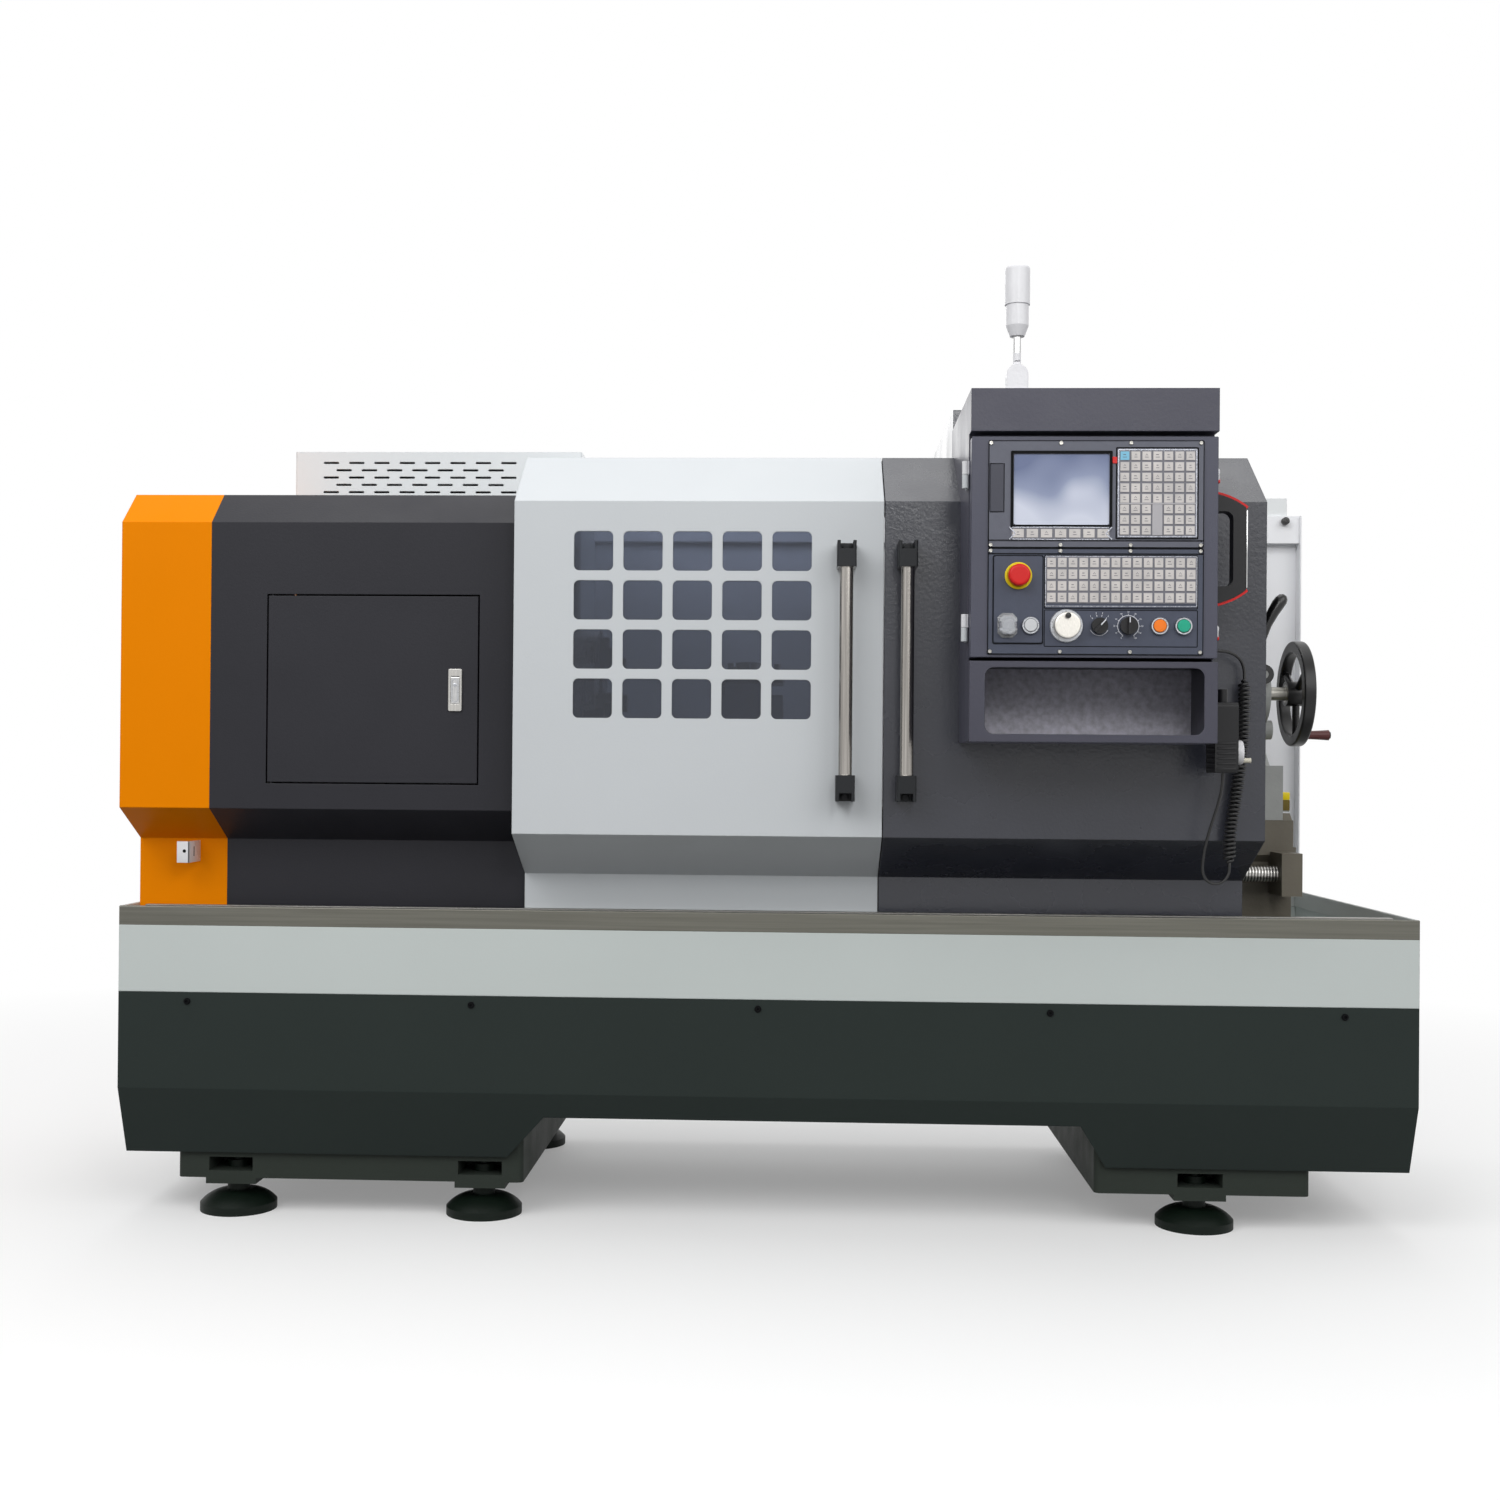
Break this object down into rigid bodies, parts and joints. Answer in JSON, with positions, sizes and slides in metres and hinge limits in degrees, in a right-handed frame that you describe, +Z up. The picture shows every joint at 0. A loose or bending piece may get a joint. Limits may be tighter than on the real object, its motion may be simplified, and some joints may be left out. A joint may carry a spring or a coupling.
{
  "type": "cnc turning lathe",
  "caption": "Floor-standing flat-bed CNC lathe with a chip-tray base, sliding splash guards, headstock covers, a hood-mounted control panel and a tailstock.",
  "frame": {"origin": "on the floor under the middle of the machine", "axes": "+X along the bed towards the tailstock, -Y towards the operator, +Z up"},
  "size_m": [2.5, 1.2293, 1.799],
  "materials": {
    "base_paint": "satin",
    "skirt_paint": "satin",
    "bare_steel": "brushed",
    "foot_iron": "matte",
    "leg_iron": "matte",
    "grey_casting": "satin",
    "charcoal_paint": "textured satin",
    "orange_paint": "gloss",
    "white_paint": "satin",
    "guard_paint": "satin",
    "motor_paint": "satin",
    "black_rubber": "matte",
    "bright_steel": "polished",
    "aluminium": "satin",
    "smoked_glass": "clear",
    "black_plastic": "matte",
    "brown_plastic": "gloss",
    "panel_paint": "satin",
    "screen_glass": "gloss",
    "key_plastic": "matte",
    "white_plastic": "gloss",
    "red_plastic": "gloss",
    "clear_plastic": "gloss",
    "grey_plastic": "matte",
    "amber_plastic": "gloss",
    "green_plastic": "gloss"
  },
  "bodies": {
    "frame": {"left_leg": "leg_iron", "right_leg": "leg_iron", "levelling_feet": "foot_iron", "chip_tray": "base_paint", "tray_rim": "bare_steel", "base_skirt": "skirt_paint", "bed": "grey_casting", "headstock": "grey_casting", "headstock_cover": "charcoal_paint", "end_cover": "orange_paint", "rear_cabinet": "white_paint", "back_guard": "guard_paint", "door_rails": "bare_steel", "main_motor": "motor_paint", "drive_belt": "black_rubber", "z_servo": "black_plastic"},
    "spindle_unit": {"spindle": "bare_steel", "chuck_body": "bare_steel"},
    "jaw_1": {"chuck_jaw_1": "bare_steel"},
    "jaw_2": {"chuck_jaw_2": "bare_steel"},
    "jaw_3": {"chuck_jaw_3": "bare_steel"},
    "motor_shaft": {"motor_pulley": "bare_steel"},
    "long_screw": {"z_screw": "bright_steel"},
    "carriage": {"saddle": "grey_casting"},
    "slide": {"cross_slide": "grey_casting"},
    "turret": {"tool_turret": "bare_steel"},
    "tailstock_unit": {"tailstock": "grey_casting"},
    "quill_unit": {"quill": "bright_steel"},
    "wheel": {"handwheel": "black_plastic"},
    "crank": {"crank_grip": "brown_plastic"},
    "clamp_lever": {"quill_lever": "black_plastic"},
    "access": {"access_door": "charcoal_paint"},
    "latch": {"access_latch": "bright_steel"},
    "door": {"left_door": "white_paint", "door_glazing": "smoked_glass", "left_handle": "bright_steel"},
    "hood": {"right_hood": "charcoal_paint", "right_handle": "bright_steel", "control_cabinet": "charcoal_paint", "panel_hinges": "white_paint", "side_grip": "black_plastic", "pendant_body": "grey_plastic", "cord_lead": "black_rubber", "cord_coil": "black_rubber", "cord_tail": "black_rubber"},
    "lamp": {"lamp_body": "white_plastic", "lamp_lens": "white_plastic"},
    "panel": {"panel_door": "panel_paint", "screen": "screen_glass", "key_pads": "key_plastic"},
    "estop": {"estop_button": "red_plastic"},
    "guarded": {"guarded_button": "clear_plastic"},
    "grey": {"grey_button": "grey_plastic"},
    "orange": {"orange_button": "amber_plastic"},
    "green": {"green_button": "green_plastic"},
    "mode": {"mode_knob": "black_plastic"},
    "override": {"override_knob": "black_plastic"},
    "mpg": {"mpg_wheel": "aluminium"},
    "flap": {"socket_flap": "black_plastic"},
    "dial": {"pendant_dial": "black_plastic"}
  },
  "joints": [
    {"name": "left_door_slide", "type": "slide", "parent": "frame", "child": "door", "axis": [1, 0, 0], "range_m": [-0.6, 0]},
    {"name": "hood_slide", "type": "slide", "parent": "frame", "child": "hood", "axis": [1, 0, 0], "range_m": [0, 0.28]},
    {"name": "access_hinge", "type": "hinge", "parent": "frame", "child": "access", "pos_m": [-0.948, -0.297, 1.037], "axis": [0, 0, -1], "range_deg": [0, 110]},
    {"name": "latch_turn", "type": "hinge", "parent": "access", "child": "latch", "pos_m": [-0.589, -0.3045, 1.06], "axis": [-1, 0, 0], "range_deg": [0, 40]},
    {"name": "spindle_spin", "type": "hinge", "parent": "frame", "child": "spindle_unit", "pos_m": [-0.8, 0.068, 1.056], "axis": [1, 0, 0], "continuous": true},
    {"name": "motor_spin", "type": "hinge", "parent": "frame", "child": "motor_shaft", "pos_m": [-1, 0.118, 1.326], "axis": [1, 0, 0], "continuous": true},
    {"name": "jaw_1_slide", "type": "slide", "parent": "spindle_unit", "child": "jaw_1", "axis": [0, 0, 1], "range_m": [-0.01, 0.012]},
    {"name": "jaw_2_slide", "type": "slide", "parent": "spindle_unit", "child": "jaw_2", "axis": [0, -0.866, -0.5], "range_m": [-0.01, 0.012]},
    {"name": "jaw_3_slide", "type": "slide", "parent": "spindle_unit", "child": "jaw_3", "axis": [0, 0.866, -0.5], "range_m": [-0.01, 0.012]},
    {"name": "carriage_slide", "type": "slide", "parent": "frame", "child": "carriage", "axis": [1, 0, 0], "range_m": [-0.18, 0.4]},
    {"name": "z_screw_spin", "type": "hinge", "parent": "frame", "child": "long_screw", "pos_m": [0.2, -0.14, 0.69], "axis": [1, 0, 0], "continuous": true},
    {"name": "cross_feed", "type": "slide", "parent": "carriage", "child": "slide", "axis": [0, 1, 0], "range_m": [-0.05, 0.1]},
    {"name": "turret_index", "type": "hinge", "parent": "slide", "child": "turret", "pos_m": [-0.03, -0.117, 1], "axis": [0, 0, 1], "continuous": true},
    {"name": "tailstock_slide", "type": "slide", "parent": "frame", "child": "tailstock_unit", "axis": [1, 0, 0], "range_m": [-0.5, 0.02]},
    {"name": "quill_feed", "type": "slide", "parent": "tailstock_unit", "child": "quill_unit", "axis": [1, 0, 0], "range_m": [-0.12, 0]},
    {"name": "handwheel_turn", "type": "hinge", "parent": "tailstock_unit", "child": "wheel", "pos_m": [1.11, 0.068, 1.056], "axis": [1, 0, 0], "continuous": true},
    {"name": "crank_spin", "type": "hinge", "parent": "wheel", "child": "crank", "pos_m": [1.15, 0.068, 0.97], "axis": [1, 0, 0], "continuous": true},
    {"name": "lever_turn", "type": "hinge", "parent": "tailstock_unit", "child": "clamp_lever", "pos_m": [1.024, -0.0093, 1.092], "axis": [0, 1, 0], "range_deg": [-55, 10]},
    {"name": "panel_hinge", "type": "hinge", "parent": "hood", "child": "panel", "pos_m": [0.363, -0.5465, 1.28], "axis": [0, 0, -1], "range_deg": [0, 100]},
    {"name": "estop_press", "type": "slide", "parent": "panel", "child": "estop", "axis": [0, 1, 0], "range_m": [0, 0.004], "stiffness_N_per_m": 1200},
    {"name": "guarded_press", "type": "slide", "parent": "panel", "child": "guarded", "axis": [0, 1, 0], "range_m": [0, 0.003], "stiffness_N_per_m": 900},
    {"name": "grey_press", "type": "slide", "parent": "panel", "child": "grey", "axis": [0, 1, 0], "range_m": [0, 0.003], "stiffness_N_per_m": 900},
    {"name": "orange_press", "type": "slide", "parent": "panel", "child": "orange", "axis": [0, 1, 0], "range_m": [0, 0.003], "stiffness_N_per_m": 900},
    {"name": "green_press", "type": "slide", "parent": "panel", "child": "green", "axis": [0, 1, 0], "range_m": [0, 0.003], "stiffness_N_per_m": 900},
    {"name": "mode_turn", "type": "hinge", "parent": "panel", "child": "mode", "pos_m": [0.5926, -0.59, 1.1425], "axis": [0, -1, 0], "range_deg": [-60, 60]},
    {"name": "override_turn", "type": "hinge", "parent": "panel", "child": "override", "pos_m": [0.6426, -0.59, 1.1425], "axis": [0, -1, 0], "range_deg": [-150, 150]},
    {"name": "mpg_turn", "type": "hinge", "parent": "panel", "child": "mpg", "pos_m": [0.5356, -0.59, 1.1425], "axis": [0, -1, 0], "continuous": true},
    {"name": "flap_turn", "type": "hinge", "parent": "panel", "child": "flap", "pos_m": [0.4045, -0.582, 1.3825], "axis": [0, 0, -1], "range_deg": [0, 100]},
    {"name": "lamp_fold", "type": "hinge", "parent": "hood", "child": "lamp", "pos_m": [0.4595, -0.482, 1.6005], "axis": [0, 1, 0], "range_deg": [-90, 90]},
    {"name": "dial_turn", "type": "hinge", "parent": "hood", "child": "dial", "pos_m": [0.85, -0.487, 0.9255], "axis": [1, 0, 0], "continuous": true}
  ],
  "couplings": [
    {"joint": "motor_spin", "follows": "spindle_spin", "ratio": 1.9167},
    {"joint": "jaw_2_slide", "follows": "jaw_1_slide", "ratio": 1},
    {"joint": "jaw_3_slide", "follows": "jaw_1_slide", "ratio": 1},
    {"joint": "z_screw_spin", "follows": "carriage_slide", "rad_per_m": 1047.2},
    {"joint": "handwheel_turn", "follows": "quill_feed", "rad_per_m": 1256.6}
  ]
}
